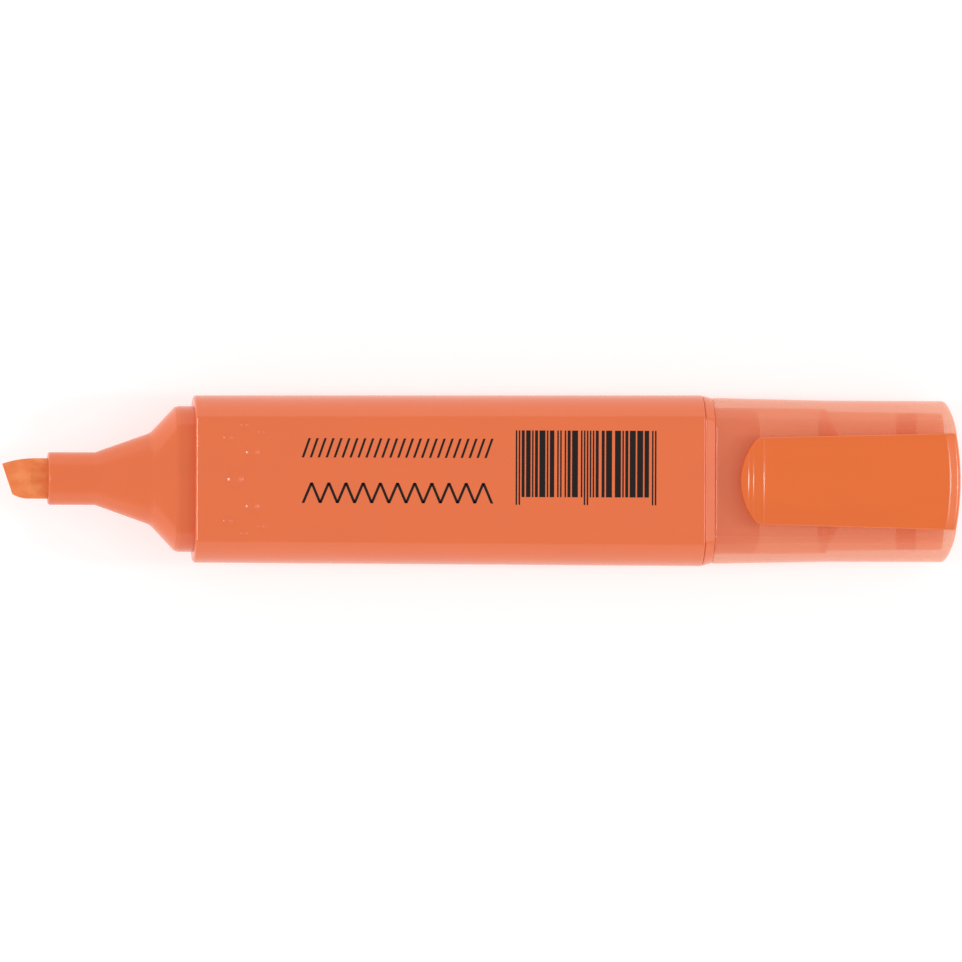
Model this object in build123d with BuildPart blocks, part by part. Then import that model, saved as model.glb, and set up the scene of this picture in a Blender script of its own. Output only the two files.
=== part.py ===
"""Flat-bodied chisel-tip highlighter, lying on its back with its cap posted on the rear end.

Millimetres. X runs along the pen from the nib's point to the closed end of the cap, Y runs across
the broad faces, and Z runs up through the thickness, with the clip on top. The origin is under the
middle of the pen, on the plane that the barrel's lower broad face rests on.
"""

import os
from math import cos, radians, sin, sqrt, tan

from build123d import *

# Lengths of the stretches along the pen, from the nib's point to the end of the cap.
nib_reach = 5.88
collar_length = 6.15
cone_length = 7.15
slope_length = 3.3
neck_length = 2.3
barrel_length = 66.25
flange_length = 1.25
cap_length = 32.15

# Cross-sections: width, thickness, half the width of the two flat faces, ease of the four creases
# and how far each face bows outward. A flat face widens by flat_growth of what a section grows.
flat_growth = 0.4
barrel_front = (21.7, 13.0, 8.0, 0.7, 0)
barrel_rear = (22.2, 13.0, 8.25, 0.7, 0)
flange_rear = (21.5, 12.3, 7.9, 0.7, 0)
cap_mouth = (21.6, 12.7, 8.0, 1.1, 0)
cap_waist = (21.0, 12.4, 7.8, 1.1, 0)
collar_end = (6.86, 6.86, 1.5, 2.0, 0.25)
cone_end = (11.94, 9.1, 2.6, 3.0, 0.45)
neck = (18.95, 10.2, 6.6, 1.8, 0)
plug_body = (19.4, 10.2, 6.8, 1.8, 0)
reservoir = (16.8, 8.0, 6.15, 1.8, 0)
nose_throat = (8.4, 6.0, 1.9, 1.5, 0.2)
socket = (19.05, 10.3, 6.62, 1.8, 0)
socket_end = (18.85, 10.1, 6.56, 1.8, 0)
cap_chamber = (18.2, 9.5, 6.4, 1.8, 0)
cap_chamber_end = (17.8, 9.1, 6.3, 1.8, 0)

# Barrel and nose.
face_skim = 0.02
shoulder_round = 0.4
seam_round = 0.18
collar_round = 0.35
collar_overlap = 0.3
collar_inset = 0.1
cone_blend = (0.9, 0.97)
slope_blend = (0.06, 0.16, 0.85, 0.96)
neck_land = 0.4
sleeve_lead = 1.0
throat_lead = 1.6
throat_overlap = 0.5
vent_width = 0.9
vent_depth = 0.3

# Nib: across, through, and the slanted chisel at its point.
nib_width = 5.25
nib_thickness = 3.7
nib_corner = 0.8
nib_land = 0.8
nib_facet_angle = 22
nib_tail_end = 33.2
nib_point = (0.0, 1.9)
nib_shoulder = (1.9, 2.4)
nib_shoulder_end = 4.0
nib_heel = (1.36, -2.05)
nib_sole = (2.4, -2.48)
nib_sole_end = 4.2

# Joints between the mouldings of the barrel, and what they hold.
nose_insert = 8.1
plug_insert = 6.85
insert_wall = 1.0
stub_length = 6.0
stub_round = 0.8
stub_end_wall = 1.2
rib_thickness = 0.8
rib_spacing = 8.0
rib_root = 0.35
reservoir_start = 25.4
reservoir_end = 88.9
film = 0.2
slip = 0.02

# Cap and inner cap, along the cap from its mouth.
cap_gap = 0.05
socket_length = 8.0
waist_start = 15.0
chamber_end = 30.0
cap_end_radius = 34.0
cap_end_round = 0.7
mouth_round = 0.35
rim_start = 14.4
rim_end = 14.9
throat = 17.0
funnel_overlap = 0.6
funnel_inset = 0.1
cup_bore = 3.48
cup_wall = 1.0
cup_bore_end = 26.5
cup_end = 27.4
fin_start = 24.2
fin_end = 26.8
fin_thickness = 0.8

# Clip, along the cap from its mouth.
clip_gap = 1.6
clip_thickness = 1.3
clip_tip = 3.25
clip_bead = 4.8
clip_bend = 6.1
clip_hinge = 30.2
clip_tip_width = 11.2
clip_root_width = 12.6
clip_tip_radius = 8.2
clip_tip_corner = 1.0
bead_drop = 0.65
bead_clearance = 0.25
lip_top = 1.15
lip_underside = 0.7
underside_lag = 0.6
hinge_clearance = 0.06
root_start = 29.4
root_end = 31.8
root_drop = 0.2
notch_start = 30.4
notch_depth = 1.2
root_pin_radius = 0.35
root_pin_length = 1.6
root_pin_spacing = 6.0
root_pin_place = 30.85

# Raised dots for the thumb: distance from the shoulder, distance from the middle line, radius.
grip_dots = [(5.2, 0, 1.05)]
for side in (1, -1):
    grip_dots += [(7.4, side * 3.5, 0.9), (4.2, side * 5.4, 0.6)]
    grip_dots += [(6.3, side * 7.0, 0.5), (8.5, side * 6.1, 0.45)]
dot_angle = 36
dot_sink_angle = 10

# Stations along the pen, measured from the nib's point.
collar_start = nib_reach
cone_start = collar_start + collar_length
slope_start = cone_start + cone_length
neck_start = slope_start + slope_length
shoulder = neck_start + neck_length
seam = shoulder + barrel_length
mouth = seam + flange_length
pen_end = mouth + cap_length
nose_end = shoulder + nose_insert
plug_start = seam - plug_insert
stub_end = mouth + stub_length

# Heights above the resting plane.
axis_height = barrel_front[1] / 2
cap_top = axis_height + cap_waist[1] / 2
clip_underside = cap_top + clip_gap
clip_top = clip_underside + clip_thickness
hinge_height = clip_underside + clip_thickness / 2


def along(distance):
    """X of a place along the pen, measured from the nib's point."""
    return distance - pen_end / 2


def on_cap(distance):
    """X of a place along the cap, measured from its mouth."""
    return along(mouth + distance)


def station(distance):
    """Plane across the pen, facing the cap's end, centred on the pen's axis."""
    return Plane(origin=(along(distance), 0, axis_height), x_dir=(0, 1, 0), z_dir=(1, 0, 0))


def resized(section, growth):
    """A cross-section grown on every side, or shrunk when the growth is negative."""
    width, thickness, flat, ease, bow = section
    return width + 2 * growth, thickness + 2 * growth, flat + flat_growth * growth, ease, bow


def between(first, second, part_way):
    """A cross-section part of the way from one to the next."""
    return tuple(a + (b - a) * part_way for a, b in zip(first, second))


def nearly_round(radius):
    """A cross-section of about this radius, with the same edges as the flat ones it lofts to."""
    flat, ease, bow = 0.44 * radius, 0.5 * radius, 0.07 * radius
    return 2 * radius, 2 * radius, flat, ease, bow


class FlatOval(BaseSketchObject):
    """Cross-section with two flat or slightly bowed faces and two rounder sides."""

    def __init__(self, width, thickness, flat, ease, bow, mode=Mode.ADD):
        middle = thickness / 2
        high = middle - bow
        with BuildSketch() as section:
            with BuildLine():
                if bow:
                    ThreePointArc((-flat, high), (0, middle), (flat, high))
                    ThreePointArc((flat, -high), (0, -middle), (-flat, -high))
                else:
                    Line((-flat, high), (flat, high))
                    Line((flat, -high), (-flat, -high))
                ThreePointArc((flat, high), (width / 2, 0), (flat, -high))
                ThreePointArc((-flat, -high), (-width / 2, 0), (-flat, high))
            make_face()
            fillet(section.vertices(), ease)
        super().__init__(obj=section.sketch, rotation=0, align=None, mode=mode)


def write(name, builder):
    """Label a finished piece and write its STEP file."""
    builder.part.label = name
    export_step(builder.part, f"parts/{name}.step")
    print(name, round(builder.part.volume, 1), "mm3, valid:", builder.part.is_valid)


os.makedirs("parts", exist_ok=True)

# Barrel: a flat tube with raised dots for the thumb and ribs inside that centre the reservoir.
with BuildPart() as barrel:
    with BuildSketch(station(shoulder)):
        FlatOval(*resized(barrel_front, face_skim))
    with BuildSketch(station(seam)):
        FlatOval(*resized(barrel_rear, face_skim))
    loft()
    with BuildSketch(Plane.XY):
        Rectangle(pen_end, 2 * barrel_rear[0])
    extrude(amount=barrel_front[1], mode=Mode.INTERSECT)
    ends = barrel.faces().filter_by(Axis.X).sort_by(Axis.X)
    fillet(ends[0].edges(), shoulder_round)
    fillet(barrel.faces().filter_by(Axis.X).sort_by(Axis.X)[-1].edges(), seam_round)
    with BuildSketch(station(shoulder)):
        FlatOval(*resized(neck, slip))
    with BuildSketch(station(seam)):
        FlatOval(*resized(plug_body, slip))
    loft(mode=Mode.SUBTRACT)
    rib_reach = neck[1] / 2 + rib_root
    rib_height = rib_reach - reservoir[1] / 2 - slip
    side_reach = plug_body[0] / 2 + rib_root
    side_height = side_reach - reservoir[0] / 2 - slip
    with BuildSketch(station(nose_end + slip)):
        for rib_side in (1, -1):
            rib_middle = rib_side * (rib_reach - rib_height / 2)
            with Locations((-rib_spacing / 2, rib_middle), (rib_spacing / 2, rib_middle)):
                Rectangle(rib_thickness, rib_height)
            with Locations((rib_side * (side_reach - side_height / 2), 0)):
                Rectangle(side_height, rib_thickness)
    extrude(amount=plug_start - nose_end - 2 * slip)
    for distance, across, radius in grip_dots:
        dome = radius / sin(radians(dot_angle))
        dome_height = dome * (1 - cos(radians(dot_angle)))
        with Locations((along(shoulder + distance), across, barrel_front[1] + dome_height)):
            sunk = 90 - dot_angle - dot_sink_angle
            Sphere(dome, arc_size1=sunk, align=(Align.CENTER, Align.CENTER, Align.MAX))
write("barrel", barrel)

# Nose section: the round collar that grips the nib, the cone that swells into the flat neck, and
# the sleeve behind it that is pushed into the barrel.
with BuildPart() as nose_section:
    with BuildSketch(station(cone_start - collar_overlap)):
        FlatOval(*resized(collar_end, -collar_inset))
    for part_way in cone_blend:
        with BuildSketch(station(cone_start + cone_length * part_way)):
            FlatOval(*between(collar_end, cone_end, part_way))
    for part_way in slope_blend:
        with BuildSketch(station(slope_start + slope_length * part_way)):
            FlatOval(*between(cone_end, neck, part_way))
    with BuildSketch(station(neck_start + neck_land)):
        FlatOval(*neck)
    loft(ruled=True)
    with BuildSketch(station(neck_start + neck_land)):
        FlatOval(*neck)
    extrude(amount=nose_end - neck_start - neck_land)
    with BuildSketch(station(collar_start)):
        Circle(collar_end[0] / 2)
    extrude(amount=collar_length + collar_overlap)
    fillet(nose_section.faces().filter_by(Axis.X).sort_by(Axis.X)[0].edges(), collar_round)
    sleeve_start = shoulder - sleeve_lead
    throat_start = slope_start - throat_lead
    with BuildSketch(station(nose_end)):
        FlatOval(*resized(neck, -insert_wall))
    extrude(amount=sleeve_start - nose_end, mode=Mode.SUBTRACT)
    with BuildSketch(station(throat_start)):
        FlatOval(*nose_throat)
    with BuildSketch(station(sleeve_start)):
        FlatOval(*resized(neck, -insert_wall))
    loft(mode=Mode.SUBTRACT)
    with BuildSketch(station(collar_start)):
        RectangleRounded(nib_width + 2 * slip, nib_thickness + 2 * slip, nib_corner)
        Rectangle(vent_width, nib_thickness + 2 * vent_depth)
    extrude(amount=throat_start - collar_start + throat_overlap, mode=Mode.SUBTRACT)
write("nose_section", nose_section)

# Chisel nib: a flat fibre rod with a slanted wedge at its point and a tail that dips in the ink.
with BuildPart() as chisel_nib:
    with BuildSketch(station(0)):
        RectangleRounded(nib_width, nib_thickness, nib_corner)
    extrude(amount=reservoir_start)
    with BuildSketch(station(reservoir_start)):
        RectangleRounded(nib_width, nib_thickness, nib_corner)
    with BuildSketch(station(nib_tail_end)):
        RectangleRounded(nib_width / 2, nib_thickness / 2, nib_corner / 2)
    loft()
    facet_length = (nib_thickness - nib_land) / 2 / tan(radians(nib_facet_angle))
    with BuildSketch(Plane.XZ):
        with BuildLine():
            Polyline(
                (along(0), axis_height + nib_land / 2),
                (along(facet_length), axis_height + nib_thickness / 2),
                (along(nib_tail_end), axis_height + nib_thickness / 2),
                (along(nib_tail_end), axis_height - nib_thickness / 2),
                (along(facet_length), axis_height - nib_thickness / 2),
                (along(0), axis_height - nib_land / 2),
                close=True,
            )
        make_face()
    extrude(amount=nib_width, both=True, mode=Mode.INTERSECT)
    with BuildSketch(Plane.XY.offset(axis_height)):
        with BuildLine():
            side = nib_width / 2
            point = (along(nib_point[0]), nib_point[1])
            heel = (along(nib_heel[0]), nib_heel[1])
            Line(point, heel)
            ThreePointArc(heel, (along(nib_sole[0]), nib_sole[1]), (along(nib_sole_end), -side))
            Polyline(
                (along(nib_sole_end), -side),
                (along(nib_tail_end), -side),
                (along(nib_tail_end), side),
                (along(nib_shoulder_end), side),
            )
            ThreePointArc(
                (along(nib_shoulder_end), side), (along(nib_shoulder[0]), nib_shoulder[1]), point
            )
        make_face()
    extrude(amount=nib_thickness, both=True, mode=Mode.INTERSECT)
write("chisel_nib", chisel_nib)

# Ink reservoir: a fibre core in a film wrap, open at both ends.
with BuildPart() as ink_core:
    with BuildSketch(station(reservoir_start)):
        FlatOval(*resized(reservoir, -film))
    extrude(amount=reservoir_end - reservoir_start)
    with BuildSketch(station(reservoir_start)):
        RectangleRounded(nib_width + 2 * slip, nib_thickness + 2 * slip, nib_corner)
    with BuildSketch(station(nib_tail_end + slip)):
        RectangleRounded(nib_width / 2 + 2 * slip, nib_thickness / 2 + 2 * slip, nib_corner / 2)
    loft(mode=Mode.SUBTRACT)
write("ink_core", ink_core)

# The wrap ends a little short of the core at both ends.
with BuildPart() as reservoir_wrap:
    with BuildSketch(station(reservoir_start + film)):
        FlatOval(*reservoir)
        FlatOval(*resized(reservoir, -film), mode=Mode.SUBTRACT)
    extrude(amount=reservoir_end - reservoir_start - 2 * film)
write("reservoir_wrap", reservoir_wrap)

# Rear plug: a sleeve pushed into the barrel, a flange that closes it off, and the hollow stub
# that the cap is posted on.
with BuildPart() as rear_plug:
    with BuildSketch(station(seam)):
        FlatOval(*barrel_rear)
    with BuildSketch(station(mouth)):
        FlatOval(*flange_rear)
    loft()
    fillet(rear_plug.faces().filter_by(Axis.X).sort_by(Axis.X)[0].edges(), seam_round)
    with BuildSketch(station(plug_start)):
        FlatOval(*plug_body)
    extrude(amount=seam - plug_start)
    with BuildSketch(station(mouth)):
        FlatOval(*neck)
    extrude(amount=stub_length)
    fillet(rear_plug.faces().filter_by(Axis.X).sort_by(Axis.X)[-1].edges(), stub_round)
    with BuildSketch(station(plug_start)):
        FlatOval(*resized(neck, -insert_wall))
    extrude(amount=stub_end - stub_end_wall - plug_start, mode=Mode.SUBTRACT)
write("rear_plug", rear_plug)

# Cap shell: clear-tinted, with a socket at its mouth, a narrower chamber behind a ledge, an end
# that bows outward and a notch in that end for the clip's root.
with BuildPart() as cap_shell:
    with BuildSketch(station(mouth + cap_gap)):
        FlatOval(*cap_mouth)
    with BuildSketch(station(mouth + waist_start)):
        FlatOval(*cap_waist)
    loft()
    fillet(cap_shell.faces().filter_by(Axis.X).sort_by(Axis.X)[0].edges(), mouth_round)
    with BuildSketch(station(mouth + waist_start)):
        FlatOval(*cap_waist)
    extrude(amount=cap_length - waist_start)
    with BuildSketch(Plane.XY):
        with Locations((on_cap(cap_length) - cap_end_radius, 0)):
            Circle(cap_end_radius)
    extrude(amount=2 * barrel_front[1], mode=Mode.INTERSECT)
    fillet(cap_shell.faces().sort_by(Axis.X)[-1].edges(), cap_end_round)
    with BuildSketch(station(mouth)):
        FlatOval(*socket)
    extrude(amount=socket_length, mode=Mode.SUBTRACT)
    with BuildSketch(station(mouth + socket_length)):
        FlatOval(*socket)
    with BuildSketch(station(mouth + rim_end)):
        FlatOval(*socket_end)
    loft(mode=Mode.SUBTRACT)
    with BuildSketch(station(mouth + rim_end)):
        FlatOval(*cap_chamber)
    with BuildSketch(station(mouth + chamber_end)):
        FlatOval(*cap_chamber_end)
    loft(mode=Mode.SUBTRACT)
    notch_floor = cap_top - notch_depth
    with BuildSketch(Plane.XZ):
        with Locations((on_cap(notch_start), notch_floor)):
            Rectangle(cap_length, cap_length, align=(Align.MIN, Align.MIN))
    extrude(amount=clip_root_width / 2 + slip, both=True, mode=Mode.SUBTRACT)
    with Locations(Plane(origin=(on_cap(root_pin_place), 0, notch_floor))):
        with GridLocations(0, root_pin_spacing, 1, 2):
            Hole(root_pin_radius + slip, depth=root_pin_length + slip)
write("cap_shell", cap_shell)

# Inner cap: a rim seated against the shell's ledge, a funnel that guides the nose in, and the cup
# that closes round the collar, with a fin on each side that centres it.
with BuildPart() as inner_cap:
    with BuildSketch(station(mouth + rim_start)):
        FlatOval(*resized(socket_end, -slip))
    extrude(amount=rim_end - rim_start)
    with BuildSketch(station(mouth + rim_end)):
        FlatOval(*resized(cap_chamber, -funnel_inset))
    with BuildSketch(station(mouth + throat + funnel_overlap)):
        FlatOval(*nearly_round(cup_bore + cup_wall))
    loft()
    with BuildSketch(station(mouth + throat)):
        Circle(cup_bore + cup_wall)
    extrude(amount=cup_end - throat)
    with BuildSketch(station(mouth + fin_start)):
        Rectangle(cap_chamber_end[0] - 2 * slip, fin_thickness)
    extrude(amount=fin_end - fin_start)
    with BuildSketch(station(mouth + rim_start)):
        FlatOval(*resized(socket_end, -insert_wall))
    with BuildSketch(station(mouth + throat)):
        FlatOval(*nearly_round(cup_bore))
    loft(mode=Mode.SUBTRACT)
    with BuildSketch(station(mouth + throat)):
        Circle(cup_bore)
    extrude(amount=cup_bore_end - throat, mode=Mode.SUBTRACT)
write("inner_cap", inner_cap)

# Clip: a springy plate whose root is pinned in the cap's end and whose tip curls to a bead.
with BuildPart() as clip_arm:
    lip_high = (on_cap(clip_tip), cap_top + lip_top)
    lip_low = (on_cap(clip_tip), cap_top + lip_underside)
    bend_low = (on_cap(clip_bend + underside_lag), clip_underside)
    with BuildSketch(Plane.XZ):
        with BuildLine():
            Line((on_cap(clip_hinge), clip_top), (on_cap(clip_bend), clip_top))
            Spline(
                (on_cap(clip_bend), clip_top),
                (on_cap(clip_bead), clip_top - bead_drop),
                lip_high,
                tangents=((-1, 0), (-4, -3)),
            )
            Line(lip_high, lip_low)
            Spline(lip_low, (on_cap(clip_bead), cap_top + bead_clearance), bend_low)
            Line(bend_low, (on_cap(clip_hinge), clip_underside))
            Line((on_cap(clip_hinge), clip_underside), (on_cap(clip_hinge), clip_top))
        make_face()
        with Locations((on_cap(clip_hinge), hinge_height)):
            Circle(clip_thickness / 2)
    extrude(amount=clip_root_width / 2, both=True)
    with BuildSketch(Plane.XY):
        with BuildLine():
            tip_half = clip_tip_width / 2
            root_half = clip_root_width / 2
            tip_rise = clip_tip_radius - sqrt(clip_tip_radius**2 - tip_half**2)
            tip_corner = on_cap(clip_tip + tip_rise)
            plan_end = on_cap(clip_hinge + clip_thickness)
            ThreePointArc((tip_corner, tip_half), (on_cap(clip_tip), 0), (tip_corner, -tip_half))
            Polyline(
                (tip_corner, -tip_half),
                (plan_end, -root_half),
                (plan_end, root_half),
                (tip_corner, tip_half),
            )
        clip_plan = make_face()
        fillet(clip_plan.vertices().sort_by(Axis.X)[0:2], clip_tip_corner)
    extrude(amount=2 * clip_top, mode=Mode.INTERSECT)
write("clip_arm", clip_arm)

# Clip root: the block that carries the plate, pinned into the notch in the cap's end.
with BuildPart() as clip_root:
    root_height = clip_top - root_drop - notch_floor
    with BuildSketch(Plane.XZ):
        with Locations((on_cap(notch_start), notch_floor)):
            Rectangle(root_end - notch_start, root_height, align=(Align.MIN, Align.MIN))
        with Locations((on_cap(root_start), cap_top)):
            Rectangle(notch_start - root_start, clip_gap, align=(Align.MIN, Align.MIN))
        with Locations((on_cap(clip_hinge), hinge_height)):
            Circle(clip_thickness / 2 + hinge_clearance, mode=Mode.SUBTRACT)
    extrude(amount=clip_root_width / 2, both=True)
    with BuildSketch(Plane.XY):
        with Locations((on_cap(root_end) - cap_end_radius, 0)):
            Circle(cap_end_radius)
    extrude(amount=2 * clip_top, mode=Mode.INTERSECT)
    with BuildSketch(Plane(origin=(on_cap(root_pin_place), 0, notch_floor))):
        with GridLocations(0, root_pin_spacing, 1, 2):
            Circle(root_pin_radius)
    extrude(amount=-root_pin_length)
write("clip_root", clip_root)
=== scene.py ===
import bpy
import math
import random
from mathutils import Euler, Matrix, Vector


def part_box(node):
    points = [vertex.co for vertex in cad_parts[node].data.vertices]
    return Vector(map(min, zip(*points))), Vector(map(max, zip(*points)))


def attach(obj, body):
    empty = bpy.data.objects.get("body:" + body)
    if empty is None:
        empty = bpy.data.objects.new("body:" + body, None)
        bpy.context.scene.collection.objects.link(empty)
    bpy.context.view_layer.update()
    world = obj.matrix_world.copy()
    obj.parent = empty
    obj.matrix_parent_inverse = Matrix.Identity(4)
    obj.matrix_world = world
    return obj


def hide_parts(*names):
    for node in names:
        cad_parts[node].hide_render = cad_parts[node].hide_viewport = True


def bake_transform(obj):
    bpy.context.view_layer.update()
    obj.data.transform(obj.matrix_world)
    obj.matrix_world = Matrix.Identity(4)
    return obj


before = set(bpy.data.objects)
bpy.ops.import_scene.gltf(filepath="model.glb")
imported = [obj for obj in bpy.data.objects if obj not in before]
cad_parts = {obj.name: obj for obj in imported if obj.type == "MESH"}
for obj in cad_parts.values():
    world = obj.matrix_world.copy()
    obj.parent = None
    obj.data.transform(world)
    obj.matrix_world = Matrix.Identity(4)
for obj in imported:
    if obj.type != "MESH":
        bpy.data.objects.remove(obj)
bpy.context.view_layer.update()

MM = 0.001

# Colours, linear.
ORANGE = (0.805, 0.162, 0.050)
DEEP_ORANGE = (0.795, 0.148, 0.024)
SEAL_ORANGE = (0.900, 0.190, 0.070)
INK_ORANGE = (0.890, 0.262, 0.084)
INK_DARK = (0.810, 0.190, 0.047)
MILK = (0.900, 0.305, 0.190)
TINT = (0.850, 0.785, 0.725)
PAINTED_GLOW_COLOUR = (1.000, 0.260, 0.060)
PRINT = (0.008, 0.004, 0.003)

# Tinted plastic: how much more of it scatters at grazing angles.
GRAZING_SHARE = 0.15

# Places on the pen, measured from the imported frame.
CAP_GAP = 0.05 * MM
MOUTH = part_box("cap_shell")[0].x - CAP_GAP
AXIS_Z = (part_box("cap_shell")[0].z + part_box("cap_shell")[1].z) / 2
FACE_Z = 2 * AXIS_Z


def material(name, colour, roughness, **sockets):
    """A Principled material. Other sockets are given by name, with _ for a space."""
    made = bpy.data.materials.new(name)
    made.use_nodes = True
    shader = made.node_tree.nodes["Principled BSDF"]
    shader.inputs["Base Color"].default_value = (*colour, 1)
    shader.inputs["Roughness"].default_value = roughness
    for socket, value in sockets.items():
        shader.inputs[socket.replace("_", " ")].default_value = value
    return made, made.node_tree, shader


def noise(tree, grain, stretch=(1, 1, 1), detail=3):
    """Noise of this grain size in metres, stretched along the object's axes."""
    place = tree.nodes.new("ShaderNodeTexCoord")
    spread = tree.nodes.new("ShaderNodeMapping")
    spread.inputs["Scale"].default_value = stretch
    made = tree.nodes.new("ShaderNodeTexNoise")
    made.inputs["Scale"].default_value = 1 / grain
    made.inputs["Detail"].default_value = detail
    tree.links.new(place.outputs["Object"], spread.inputs["Vector"])
    tree.links.new(spread.outputs["Vector"], made.inputs["Vector"])
    return made.outputs["Fac"]


def relief(tree, shader, layers):
    """Bumps in turn: each layer is a noise and its depth in metres."""
    normal = None
    for height, depth in layers:
        bump = tree.nodes.new("ShaderNodeBump")
        bump.inputs["Distance"].default_value = depth
        tree.links.new(height, bump.inputs["Height"])
        if normal:
            tree.links.new(normal, bump.inputs["Normal"])
        normal = bump.outputs["Normal"]
    tree.links.new(normal, shader.inputs["Normal"])


def mottle(tree, shader, factor, first, second, low=0.35, high=0.65):
    """Base colour that varies between two colours with a noise."""
    ramp = tree.nodes.new("ShaderNodeValToRGB")
    ramp.color_ramp.elements[0].position = low
    ramp.color_ramp.elements[0].color = (*first, 1)
    ramp.color_ramp.elements[1].position = high
    ramp.color_ramp.elements[1].color = (*second, 1)
    tree.links.new(factor, ramp.inputs["Fac"])
    tree.links.new(ramp.outputs["Color"], shader.inputs["Base Color"])


def shade(colour, factor):
    """The colour made this many times as bright."""
    return tuple(channel * factor for channel in colour)


def moulded(name, colour, roughness):
    """Opaque moulded plastic: faint flow marks, a fine grain and a slight waviness."""
    made, tree, shader = material(name, colour, roughness)
    flow = noise(tree, 6 * MM, (0.4, 1, 1))
    mottle(tree, shader, flow, shade(colour, 0.985), shade(colour, 1.015))
    relief(tree, shader, [
        (noise(tree, 3.0 * MM, (0.6, 1, 1), detail=1), 0.010 * MM),
        (noise(tree, 0.10 * MM), 0.0012 * MM),
    ])
    return made


def nib_felt():
    """Pressed fibres that run along the nib, with darker patches where more ink lies in them."""
    made, tree, shader = material("nib_felt", INK_ORANGE, 0.8)
    mottle(tree, shader, noise(tree, 1.3 * MM, (0.6, 1, 1), detail=4), INK_DARK, INK_ORANGE)
    relief(tree, shader, [
        (noise(tree, 1.2 * MM, (0.6, 1, 1), detail=2), 0.12 * MM),
        (noise(tree, 0.14 * MM, (0.25, 1, 1), detail=3), 0.010 * MM),
    ])
    return made


def grained(name, colour, roughness, grain, depth, **sockets):
    """A plain material with one layer of relief."""
    made, tree, shader = material(name, colour, roughness, **sockets)
    relief(tree, shader, [(noise(tree, grain), depth)])
    return made


def clear_tinted(name, colour, share, roughness, painted_glow):
    """Milky tinted plastic: this share scatters, and more at grazing angles.

    The rest lets tinted light through, and an emission paints a little light onto the whole shell,
    brightening it most where it lies in shade.
    """
    made, tree, shader = material(name, colour, roughness)
    # Painted light: the shell gives off a small emission that brightens it, most visibly where it lies
    # in shade.
    shader.inputs["Emission Color"].default_value = (*PAINTED_GLOW_COLOUR, 1)
    shader.inputs["Emission Strength"].default_value = painted_glow
    relief(tree, shader, [(noise(tree, 2.5 * MM, (0.5, 1, 1), detail=1), 0.008 * MM)])
    clear = tree.nodes.new("ShaderNodeBsdfTransparent")
    clear.inputs["Color"].default_value = (*TINT, 1)
    facing = tree.nodes.new("ShaderNodeLayerWeight")
    facing.inputs["Blend"].default_value = 0.3
    body = tree.nodes.new("ShaderNodeMapRange")
    body.inputs["To Min"].default_value = share
    body.inputs["To Max"].default_value = min(1, share + GRAZING_SHARE)
    mixed = tree.nodes.new("ShaderNodeMixShader")
    out = tree.nodes["Material Output"]
    tree.links.new(facing.outputs["Facing"], body.inputs["Value"])
    tree.links.new(body.outputs["Result"], mixed.inputs["Fac"])
    tree.links.new(clear.outputs["BSDF"], mixed.inputs[1])
    tree.links.new(shader.outputs["BSDF"], mixed.inputs[2])
    tree.links.new(mixed.outputs["Shader"], out.inputs["Surface"])
    return made


def paint(node, made):
    """Give a CAD node its material."""
    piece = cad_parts[node]
    piece.data.materials.clear()
    piece.data.materials.append(made)


barrel_look = moulded("barrel_plastic", ORANGE, roughness=0.2)
clip_look = moulded("clip_plastic", DEEP_ORANGE, roughness=0.2)
nib_look = nib_felt()
# The cap and the inner cap both carry this painted light as a small emission.
cap_look = clear_tinted("cap_plastic", MILK, share=0.36, roughness=0.1, painted_glow=0.22)
seal_look = clear_tinted("seal_plastic", SEAL_ORANGE, share=0.75, roughness=0.2, painted_glow=0.05)
wrap_look = grained("wrap_film", MILK, 0.25, grain=0.8 * MM, depth=0.01 * MM, Alpha=0.4)
for node in ("barrel", "nose_section", "rear_plug"):
    paint(node, barrel_look)
for node in ("chisel_nib", "ink_core"):
    paint(node, nib_look)
paint("cap_shell", cap_look)
paint("inner_cap", seal_look)
paint("reservoir_wrap", wrap_look)


def new_mesh(name, vertices, faces, made):
    """A mesh object in the scene with this material."""
    mesh = bpy.data.meshes.new(name)
    mesh.from_pydata(vertices, [], faces)
    mesh.validate()
    mesh.materials.append(made)
    piece = bpy.data.objects.new(name, mesh)
    bpy.context.scene.collection.objects.link(piece)
    return piece


# Clip, one springy moulding from its curled tip to the root in the cap's end. Its values are in
# mm, and its places are distances along the cap from the mouth.
CLIP_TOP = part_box("clip_arm")[1].z
CLIP_UNDER = CLIP_TOP - 1.3 * MM
CAP_TOP = CLIP_UNDER - 1.6 * MM
TIP, BEND, ROOT, BREAK, END = 3.25, 6.2, 29.4, 30.4, 31.8
TIP_HALF, ROOT_HALF, TIP_RADIUS = 5.6, 6.3, 8.2
TIP_SHARPNESS, POINT_HALF, LEAST_HALF = 6, 0.2, 0.05
TIP_SLOPE, TIP_STEP, TIP_STEP_HALF = 0.27, 0.13, 0.16
CROWN, CROWN_START, CROWN_FULL = 0.025, 9.5, 4.0
RIPPLES = (4.35, 4.95)
RIPPLE_HEIGHT, RIPPLE_WIDTH = 0.085, 0.2
BEAD_DROP, BEAD_LENGTH, LIP_LIFT, LIP_START = 1.30, 2.0, 0.70, 4.6
ROOT_BEFORE, ROOT_AFTER, NOTCH_DEPTH, NOTCH_HALF = 0.6, 0.1, 1.15, 0.05
END_SLOPE, END_BLEND, END_STEP, END_STEP_HALF = 0.35, 0.03, 0.06, 0.1
END_RADIUS, END_ROUND, BOW_START = 34.0, 0.45, 29.0
EDGE_RADIUS, CORNER_STEPS, FACE_STEPS = 0.25, 6, 12
TIP_FINE, PLATE_START, PLATE_EVEN, ROOT_FINE, END_FINE = 3.85, 7.5, 10.0, 28.7, 31.3


def ease(value, start, end):
    """0 before start, 1 after end and a smooth step between."""
    t = min(max((value - start) / (end - start), 0), 1)
    return t * t * (3 - 2 * t)


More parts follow.
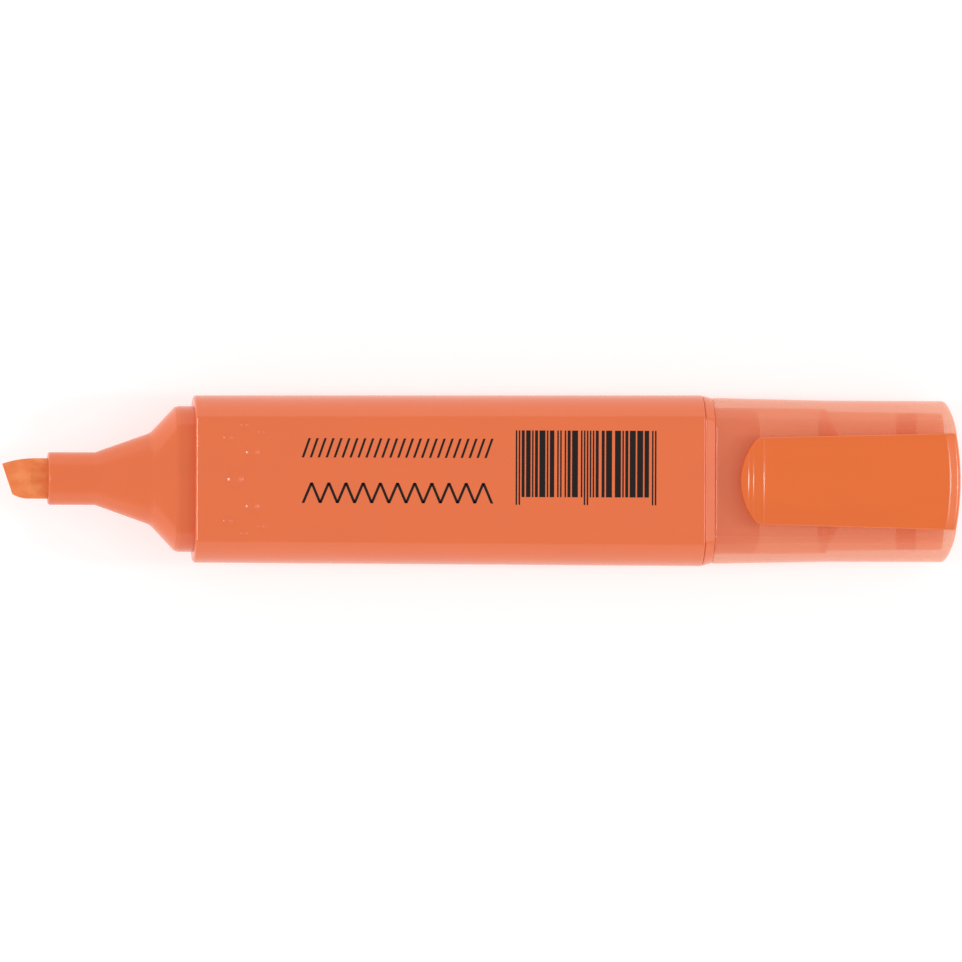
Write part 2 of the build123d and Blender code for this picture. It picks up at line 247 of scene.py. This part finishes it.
def clip_heights(c):
    """Top and underside of the clip, in mm above the cap's face, at a distance from the mouth."""
    flat_top = (CLIP_TOP - CAP_TOP) / MM
    flat_under = (CLIP_UNDER - CAP_TOP) / MM
    ripples = sum(math.exp(-(((c - crest) / RIPPLE_WIDTH) ** 2)) for crest in RIPPLES)
    into_round = max(0, (c - END + END_ROUND) / END_ROUND)
    top = flat_top - TIP_STEP * ease(c, BEND + TIP_STEP_HALF, BEND - TIP_STEP_HALF)
    top += RIPPLE_HEIGHT * ripples - TIP_SLOPE * max(0, BEND - c)
    top -= END_SLOPE * END_BLEND * math.log(1 + math.exp((c - BREAK) / END_BLEND))
    top -= END_STEP * ease(c, BREAK - END_STEP_HALF, BREAK + END_STEP_HALF)
    top -= END_ROUND * (1 - math.sqrt(max(0, 1 - into_round**2)))
    under = flat_under - BEAD_DROP * ease(c, BEND, BEND - BEAD_LENGTH)
    under += LIP_LIFT * ease(c, LIP_START, TIP)
    under -= flat_under * ease(c, ROOT - ROOT_BEFORE, ROOT + ROOT_AFTER)
    under -= NOTCH_DEPTH * ease(c, BREAK - NOTCH_HALF, BREAK + NOTCH_HALF)
    return top, under


def clip_half_width(c):
    """Half the clip's width: a round tip, then a slight widening towards the root."""
    wide = TIP_HALF + (ROOT_HALF - TIP_HALF) * (c - TIP) / (END - TIP)
    back = TIP_RADIUS - (c - TIP)
    if back > 0:
        round_tip = math.sqrt(max(TIP_RADIUS**2 - back**2, 0))
        both = math.exp(-TIP_SHARPNESS * wide) + math.exp(-TIP_SHARPNESS * round_tip)
        wide = -math.log(both) / TIP_SHARPNESS if round_tip > POINT_HALF else round_tip
    return max(wide, LEAST_HALF)


def clip_section(c, half, low, high):
    """Loop of a rounded rectangle across the clip, crowned at its tip and bowed at its end."""
    radius = min(EDGE_RADIUS, 0.48 * (high - low), 0.9 * half)
    side, upper, lower = half - radius, high - radius, low + radius
    loop = []
    for y, z, start in ((side, upper, 0), (-side, upper, 90), (-side, lower, 180), (side, lower, 270)):
        for step in range(CORNER_STEPS + 1):
            turn = math.radians(start + 90 * step / CORNER_STEPS)
            loop.append((y + radius * math.cos(turn), z + radius * math.sin(turn)))
        if start in (0, 180):
            face = high if start == 0 else low
            loop += [(y * (1 - 2 * part / FACE_STEPS), face) for part in range(1, FACE_STEPS)]
    crown = CROWN * ease(c, CROWN_START, CROWN_FULL)
    points = []
    for y, z in loop:
        bow = (y * y / (2 * END_RADIUS)) * ease(c, BOW_START, BREAK)
        drop = crown * y * y * (z - low) / (high - low)
        points.append((MOUTH + (c - bow) * MM, y * MM, CAP_TOP + (z - drop) * MM))
    return points


def spaced(start, end, spacing):
    """Even places from start up to, but not with, end."""
    return [start + step * spacing for step in range(round((end - start) / spacing))]


def clip_places():
    """Places of the clip's sections, close together where its height or width turns."""
    quarter = math.pi / 2
    first, last = TIP + 0.002, END - 0.01
    places = [first + (TIP_FINE - TIP) * (1 - math.cos(quarter * step / 12)) for step in range(12)]
    places += spaced(TIP_FINE, PLATE_START, 0.05)
    places += spaced(PLATE_START, PLATE_EVEN - 0.25, 0.25)
    places += spaced(PLATE_EVEN, ROOT_FINE + 0.3, 1.0)
    places += spaced(ROOT_FINE, END_FINE, 0.05)
    places += [END_FINE + (last - END_FINE) * math.sin(quarter * step / 14) for step in range(1, 15)]
    return places


def make_clip():
    """The whole clip as one mesh; the real clip flexes where the plate leaves the root."""
    places = clip_places()
    vertices, faces = [], []
    for c in places:
        high, low = clip_heights(c)
        vertices += clip_section(c, clip_half_width(c), low, high)
    around = len(vertices) // len(places)
    for row in range(len(places) - 1):
        for k in range(around):
            a, b = row * around + k, row * around + (k + 1) % around
            faces.append((a, b, b + around, a + around))
    faces.append(tuple(reversed(range(around))))
    faces.append(tuple((len(places) - 1) * around + k for k in range(around)))
    clip = new_mesh("clip", vertices, faces, clip_look)
    clip.data.shade_smooth()
    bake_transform(clip)
    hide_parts("clip_arm", "clip_root")
    return clip


make_clip()

# Print on the upper face: a made-up block of bars and two rows of plain strokes.
PRINT_BASE = FACE_Z + 0.002 * MM
PRINT_TOP = FACE_Z + 0.012 * MM
STROKES_LEFT, STROKES_RIGHT = -23.7, 1.2
MODULES = 95


def stamp(corners, vertices, faces):
    """Add one thin printed patch with these corners, counter-clockwise, in mm on the face."""
    first, count = len(vertices), len(corners)
    for z in (PRINT_BASE, PRINT_TOP):
        vertices += [(x * MM, y * MM, z) for x, y in corners]
    faces.append(tuple(first + count + k for k in range(count)))
    faces.append(tuple(first + k for k in reversed(range(count))))
    for k in range(count):
        after = (k + 1) % count
        faces.append((first + k, first + after, first + count + after, first + count + k))


def printed(name, patches, made):
    """One piece of print that moves with the barrel."""
    vertices, faces = [], []
    for corners in patches:
        stamp(corners, vertices, faces)
    piece = new_mesh(name, vertices, faces, made)
    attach(piece, "barrel")
    return piece


def bar_patches(left, right, low, guard, high):
    """Upright bars of one to four modules, with a pair of long thin ones at both ends and the middle."""
    draw = random.Random(7)
    module = (right - left) / MODULES
    middle = MODULES // 2
    guards = [0, 2, middle - 1, middle + 1, MODULES - 3, MODULES - 1]
    bars = [(place, 1, guard) for place in guards]
    for start, end in ((4, middle - 2), (middle + 3, MODULES - 4)):
        place = start
        while place < end - 4:
            bar = draw.choice((1, 2, 2, 3, 4))
            bars.append((place, bar, low))
            place += bar + draw.choice((1, 1, 2, 2))
        bars.append((place, max(1, end - place - 1), low))
    return [
        [(x, foot), (x + wide * module, foot), (x + wide * module, high), (x, high)]
        for x, wide, foot in ((left + place * module, wide, foot) for place, wide, foot in bars)
    ]


def hatch_patches(left, right, low, high, count, width):
    """A row of slanted strokes, each leaning by a third or so of its height."""
    lean = 0.35 * (high - low)
    pitch = (right - left - lean - width) / (count - 1)
    return [
        [(x, low), (x + width, low), (x + width + lean, high), (x + lean, high)]
        for x in (left + k * pitch for k in range(count))
    ]


def zigzag_patches(left, right, low, high, count, width):
    """A zigzag stroke as drawn with a chisel point: slanted bars joined at their ends."""
    pitch = (right - left - width) / count
    patches = []
    for k in range(count):
        x0, x1 = left + k * pitch, left + (k + 1) * pitch
        y0, y1 = (low, high) if k % 2 == 0 else (high, low)
        corners = [(x0, y0), (x0 + width, y0), (x1 + width, y1), (x1, y1)]
        patches.append(corners if y1 > y0 else corners[::-1])
    return patches


def make_print():
    """The block of bars, and the two rows of strokes beside it."""
    ink = grained("print_ink", PRINT, 0.5, grain=0.06 * MM, depth=0.002 * MM, Specular_IOR_Level=0.25)
    block = bar_patches(left=4.1, right=22.4, low=-2.2, guard=-3.2, high=6.45)
    strokes = hatch_patches(STROKES_LEFT, STROKES_RIGHT, low=2.85, high=5.35, count=24, width=0.3)
    strokes += zigzag_patches(STROKES_LEFT, STROKES_RIGHT, low=-3.05, high=-0.4, count=22, width=0.36)
    printed("bar_print", block, ink)
    printed("stroke_print", strokes, ink)


make_print()

# Floor, lights and camera.
bpy.ops.mesh.primitive_plane_add(size=3, location=(0, 0, -0.02 * MM))
floor = bpy.context.object
floor.name = "floor"
floor_look, *_ = material("floor", (0.55, 0.55, 0.55), 0.9, Specular_IOR_Level=0.1)
floor_glow = floor_look.node_tree.nodes["Principled BSDF"]
floor_glow.inputs["Emission Color"].default_value = (1, 1, 1, 1)
floor_glow.inputs["Emission Strength"].default_value = 0.52
floor.data.materials.append(floor_look)

world = bpy.data.worlds.new("studio")
bpy.context.scene.world = world
world.use_nodes = True
sky = world.node_tree
sky.nodes["Background"].inputs["Color"].default_value = (1, 1, 1, 1)
direction = sky.nodes.new("ShaderNodeTexCoord")
parts = sky.nodes.new("ShaderNodeSeparateXYZ")
fade = sky.nodes.new("ShaderNodeMapRange")
fade.interpolation_type = "SMOOTHSTEP"
fade.inputs["From Min"].default_value = 0.15
fade.inputs["From Max"].default_value = 0.60
fade.inputs["To Min"].default_value = 1.18
fade.inputs["To Max"].default_value = 0.64
sky.links.new(direction.outputs["Generated"], parts.inputs["Vector"])
sky.links.new(parts.outputs["Z"], fade.inputs["Value"])
sky.links.new(fade.outputs["Result"], sky.nodes["Background"].inputs["Strength"])


def softbox(name, place, size, power):
    """An area light aimed at the pen."""
    light = bpy.data.lights.new(name, "AREA")
    light.shape = "RECTANGLE"
    light.size, light.size_y = size
    light.energy = power
    lamp = bpy.data.objects.new(name, light)
    bpy.context.scene.collection.objects.link(lamp)
    lamp.location = place
    lamp.rotation_mode = "QUATERNION"
    lamp.rotation_quaternion = (-Vector(place)).to_track_quat("-Z", "Y")


softbox("left_light", (-0.80, 0.0, 0.50), (0.10, 0.09), 1.9)
softbox("right_light", (0.80, 0.0, 0.50), (0.10, 0.09), 1.6)
softbox("end_light", (0.55, 0.0, 0.78), (0.50, 0.35), 0.8)

bpy.context.scene.view_settings.view_transform = "Standard"

camera_data = bpy.data.cameras.new("camera")
camera_data.sensor_width = 36
camera_data.lens = 691
camera = bpy.data.objects.new("camera", camera_data)
bpy.context.scene.collection.objects.link(camera)
lean = math.radians(4.25)
reach = 2.4
roll = math.radians(0.2)
target = Vector((0.075 * MM, -0.13 * MM, 6.5 * MM))
turned = Euler((0, -lean, roll))
camera.location = target + turned.to_matrix() @ Vector((0, 0, reach))
camera.rotation_euler = turned
camera_data.clip_end = 10
bpy.context.scene.camera = camera
